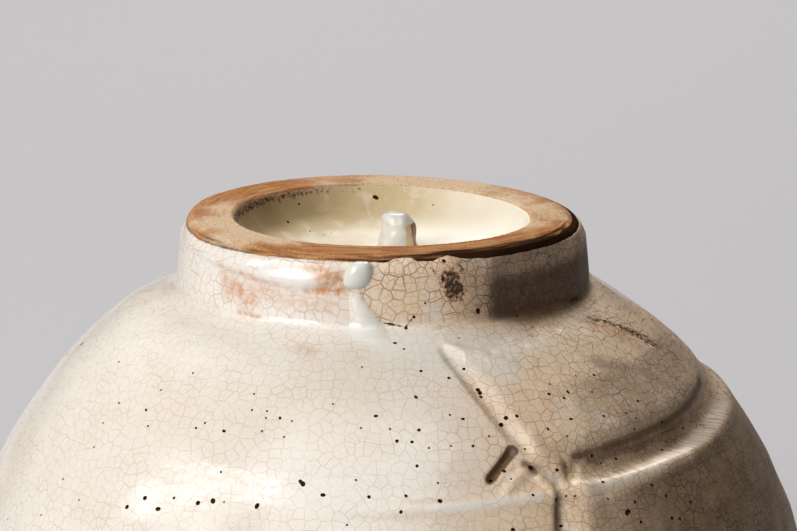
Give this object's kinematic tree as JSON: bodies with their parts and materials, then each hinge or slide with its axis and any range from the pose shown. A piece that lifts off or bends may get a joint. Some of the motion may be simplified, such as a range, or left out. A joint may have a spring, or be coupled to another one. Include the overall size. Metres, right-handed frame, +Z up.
{
  "type": "tea bowl",
  "caption": "Round stoneware tea bowl under thick crackled cream glaze, set foot up on its lip: bare-faced foot ring, glazed well with a boss, spatula strokes and a glaze drip.",
  "frame": {"origin": "centre of the plane that the lip rests on, below the centre of the foot ring", "axes": "+Z up through the foot ring, because the bowl lies upside down on its lip as in the picture; -Y towards the picture's viewer, +X to that viewer's right. For use as a cup, turn it 180 degrees about X or Y so that it stands on the foot."},
  "size_m": [0.124, 0.124, 0.08],
  "materials": {
    "stoneware": "matte",
    "cream_glaze": "gloss",
    "well_cream": "satin",
    "pale_glaze": "gloss"
  },
  "bodies": {
    "root": {"bowl_body": "stoneware", "foot_ring": "stoneware", "foot_boss": "stoneware", "outer_glaze": "cream_glaze", "lip_glaze": "cream_glaze", "inner_glaze": "cream_glaze", "well_glaze": "well_cream", "boss_glaze": "pale_glaze", "glaze_bead": "pale_glaze", "glaze_run": "pale_glaze"}
  },
  "joints": []
}
